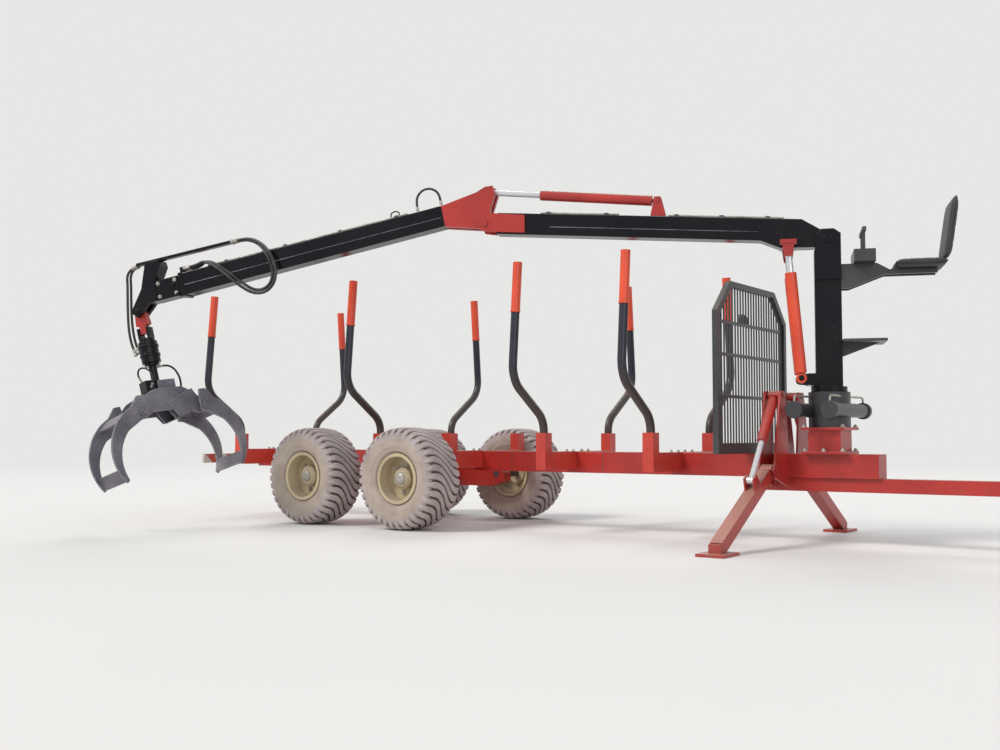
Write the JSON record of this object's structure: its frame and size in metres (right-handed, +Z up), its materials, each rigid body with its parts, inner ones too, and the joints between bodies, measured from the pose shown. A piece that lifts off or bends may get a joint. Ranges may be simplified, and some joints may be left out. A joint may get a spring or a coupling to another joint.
{
  "type": "forestry trailer",
  "caption": "Forestry trailer with a folding crane and log grapple, bogie wheels, stake bunks, headboard and hinged support legs.",
  "frame": {"origin": "middle of the towing eye's bore", "axes": "+X forward along the drawbar, +Y to the left, +Z up"},
  "size_m": [7.962, 4.0102, 2.8131],
  "materials": {
    "red_paint": "semi-gloss enamel, worn",
    "orange_paint": "satin enamel",
    "black_paint": "gloss enamel",
    "grey_steel": "worn, scuffed",
    "chrome_rod": "polished",
    "rim_paint": "satin, dusty",
    "tyre_rubber": "matt, dusty",
    "lamp_plastic": "clear-coated",
    "board_paint": "banded",
    "hose_rubber": "satin",
    "seat_vinyl": "satin"
  },
  "bodies": {
    "trailer": {"main_beam": "red_paint", "drawbar": "red_paint", "towing_eye": "red_paint", "bunks": "red_paint", "stakes": "black_paint", "stake_tips": "orange_paint", "headboard_frame": "black_paint", "headboard_grille": "black_paint", "lamp_board": "board_paint", "rear_lamps": "lamp_plastic", "bogie_rockers": "red_paint", "bogie_axle": "red_paint", "wheel_spindles": "grey_steel", "leg_brackets": "red_paint", "crane_foot": "red_paint", "slew_housing": "black_paint", "work_lamp": "black_paint"},
    "wheel_front_left": {"tyre_front_left": "tyre_rubber", "rim_front_left": "rim_paint"},
    "wheel_front_right": {"tyre_front_right": "tyre_rubber", "rim_front_right": "rim_paint"},
    "wheel_rear_left": {"tyre_rear_left": "tyre_rubber", "rim_rear_left": "rim_paint"},
    "wheel_rear_right": {"tyre_rear_right": "tyre_rubber", "rim_rear_right": "rim_paint"},
    "leg_left": {"support_leg_left": "red_paint"},
    "leg_right": {"support_leg_right": "red_paint"},
    "leg_cylinder_left": {"leg_cylinder_left": "red_paint"},
    "leg_cylinder_right": {"leg_cylinder_right": "red_paint"},
    "leg_rod_left": {"leg_rod_left": "chrome_rod"},
    "leg_rod_right": {"leg_rod_right": "chrome_rod"},
    "pillar": {"pillar": "black_paint", "operator_seat": "seat_vinyl", "seat_frame": "black_paint", "control_console": "black_paint"},
    "main_boom": {"main_boom": "black_paint", "knuckle_bracket": "red_paint", "boom_brackets": "red_paint"},
    "lift_cylinders": {"lift_cylinders": "orange_paint"},
    "lift_rods": {"lift_rods": "chrome_rod"},
    "outer_cylinder": {"outer_cylinder": "red_paint"},
    "outer_rod": {"outer_rod": "chrome_rod"},
    "outer_boom": {"outer_boom": "black_paint", "outer_boom_butt": "red_paint", "hose_tip_front": "hose_rubber", "hose_tip_rear": "hose_rubber", "hose_knuckle": "hose_rubber"},
    "extension_boom": {"extension_boom": "black_paint", "boom_head": "red_paint", "hose_tray": "black_paint"},
    "tip_link": {"tip_link": "red_paint"},
    "rotator": {"rotator": "black_paint"},
    "grapple": {"grapple_frame": "grey_steel", "grapple_neck": "black_paint", "grapple_cover": "grey_steel", "hose_manifold": "hose_rubber"},
    "claw_inner": {"claw_inner": "grey_steel"},
    "claw_outer": {"claw_outer": "grey_steel"}
  },
  "joints": [
    {"name": "wheel_front_left_spin", "type": "hinge", "parent": "trailer", "child": "wheel_front_left", "pos_m": [-5.084, 0.815, -0.003], "axis": [0, 1, 0], "continuous": true},
    {"name": "wheel_front_right_spin", "type": "hinge", "parent": "trailer", "child": "wheel_front_right", "pos_m": [-5.084, -0.815, -0.003], "axis": [0, 1, 0], "continuous": true},
    {"name": "wheel_rear_left_spin", "type": "hinge", "parent": "trailer", "child": "wheel_rear_left", "pos_m": [-6.216, 0.815, -0.003], "axis": [0, 1, 0], "continuous": true},
    {"name": "wheel_rear_right_spin", "type": "hinge", "parent": "trailer", "child": "wheel_rear_right", "pos_m": [-6.216, -0.815, -0.003], "axis": [0, 1, 0], "continuous": true},
    {"name": "leg_left_fold", "type": "hinge", "parent": "trailer", "child": "leg_left", "pos_m": [-2.05, 0.33, 0.105], "axis": [1, 0, 0], "range_deg": [0, 60]},
    {"name": "leg_cylinder_left_swing", "type": "hinge", "parent": "trailer", "child": "leg_cylinder_left", "pos_m": [-2.05, 0.185, 0.66], "axis": [1, 0, 0], "range_deg": [-0.23, 14]},
    {"name": "leg_cylinder_left_stroke", "type": "slide", "parent": "leg_cylinder_left", "child": "leg_rod_left", "axis": [0, 0.5921, -0.8059], "range_m": [-0.2848, 0.004]},
    {"name": "leg_right_fold", "type": "hinge", "parent": "trailer", "child": "leg_right", "pos_m": [-2.05, -0.33, 0.105], "axis": [-1, 0, 0], "range_deg": [0, 60]},
    {"name": "leg_cylinder_right_swing", "type": "hinge", "parent": "trailer", "child": "leg_cylinder_right", "pos_m": [-2.05, -0.185, 0.66], "axis": [-1, 0, 0], "range_deg": [-0.23, 14]},
    {"name": "leg_cylinder_right_stroke", "type": "slide", "parent": "leg_cylinder_right", "child": "leg_rod_right", "axis": [0, -0.5921, -0.8059], "range_m": [-0.2848, 0.004]},
    {"name": "crane_slew", "type": "hinge", "parent": "trailer", "child": "pillar", "pos_m": [-1.7, 0, 0.68], "axis": [0, 0, 1], "range_deg": [0, 316]},
    {"name": "boom_lift", "type": "hinge", "parent": "pillar", "child": "main_boom", "pos_m": [-1.7, 0, 1.81], "axis": [-0.3746, 0.9272, 0], "range_deg": [-4, 60]},
    {"name": "lift_cylinder_swing", "type": "hinge", "parent": "pillar", "child": "lift_cylinders", "pos_m": [-1.88544, -0.07492, 0.78], "axis": [-0.3746, 0.9272, 0], "range_deg": [-0.2, 2.46]},
    {"name": "lift_cylinder_stroke", "type": "slide", "parent": "lift_cylinders", "child": "lift_rods", "axis": [-0.0795, -0.0321, 0.9963], "range_m": [-0.0237, 0.3001]},
    {"name": "outer_boom_fold", "type": "hinge", "parent": "main_boom", "child": "outer_boom", "pos_m": [-4.12922, -0.98147, 2.05376], "axis": [0.3746, -0.9272, 0], "range_deg": [-15, 75]},
    {"name": "outer_cylinder_swing", "type": "hinge", "parent": "main_boom", "child": "outer_cylinder", "pos_m": [-2.85898, -0.46826, 2.17376], "axis": [0.3746, -0.9272, 0], "range_deg": [-1.12, 5.33]},
    {"name": "outer_cylinder_stroke", "type": "slide", "parent": "outer_cylinder", "child": "outer_rod", "axis": [-0.9224, -0.3727, 0.101], "range_m": [-0.0616, 0.292]},
    {"name": "extension_stroke", "type": "slide", "parent": "outer_boom", "child": "extension_boom", "axis": [-0.9086, -0.3671, -0.1994], "range_m": [0, 1.15]},
    {"name": "tip_link_swing", "type": "hinge", "parent": "extension_boom", "child": "tip_link", "pos_m": [-7.01013, -2.14543, 1.42569], "axis": [-0.3746, 0.9272, 0], "range_deg": [-20, 30]},
    {"name": "rotator_swing", "type": "hinge", "parent": "tip_link", "child": "rotator", "pos_m": [-6.9726, -2.13027, 1.26573], "axis": [-0.8989, -0.3632, -0.2453], "range_deg": [-15, 15]},
    {"name": "rotator_spin", "type": "hinge", "parent": "rotator", "child": "grapple", "pos_m": [-6.90664, -2.10362, 0.98459], "axis": [-0.2274, -0.0919, 0.9694], "continuous": true},
    {"name": "claw_close", "type": "hinge", "parent": "grapple", "child": "claw_inner", "pos_m": [-6.75631, -1.77672, 0.57841], "axis": [-0.9608, 0.1834, -0.208], "range_deg": [-20, 48]},
    {"name": "claw_outer_turn", "type": "hinge", "parent": "grapple", "child": "claw_outer", "pos_m": [-6.84863, -2.34635, 0.50275], "axis": [0.9608, -0.1834, 0.208], "range_deg": [-20, 48]}
  ],
  "couplings": [
    {"joint": "leg_cylinder_left_swing", "follows": "leg_left_fold", "ratio": 0.22957},
    {"joint": "leg_cylinder_left_stroke", "follows": "leg_left_fold", "m_per_rad": -0.26816},
    {"joint": "leg_cylinder_right_swing", "follows": "leg_right_fold", "ratio": 0.22957},
    {"joint": "leg_cylinder_right_stroke", "follows": "leg_right_fold", "m_per_rad": -0.26816},
    {"joint": "lift_cylinder_swing", "follows": "boom_lift", "ratio": 0.040295},
    {"joint": "lift_cylinder_stroke", "follows": "boom_lift", "m_per_rad": 0.28277},
    {"joint": "outer_cylinder_swing", "follows": "outer_boom_fold", "ratio": 0.070131},
    {"joint": "outer_cylinder_stroke", "follows": "outer_boom_fold", "m_per_rad": 0.22005},
    {"joint": "claw_outer_turn", "follows": "claw_close", "ratio": 1}
  ]
}
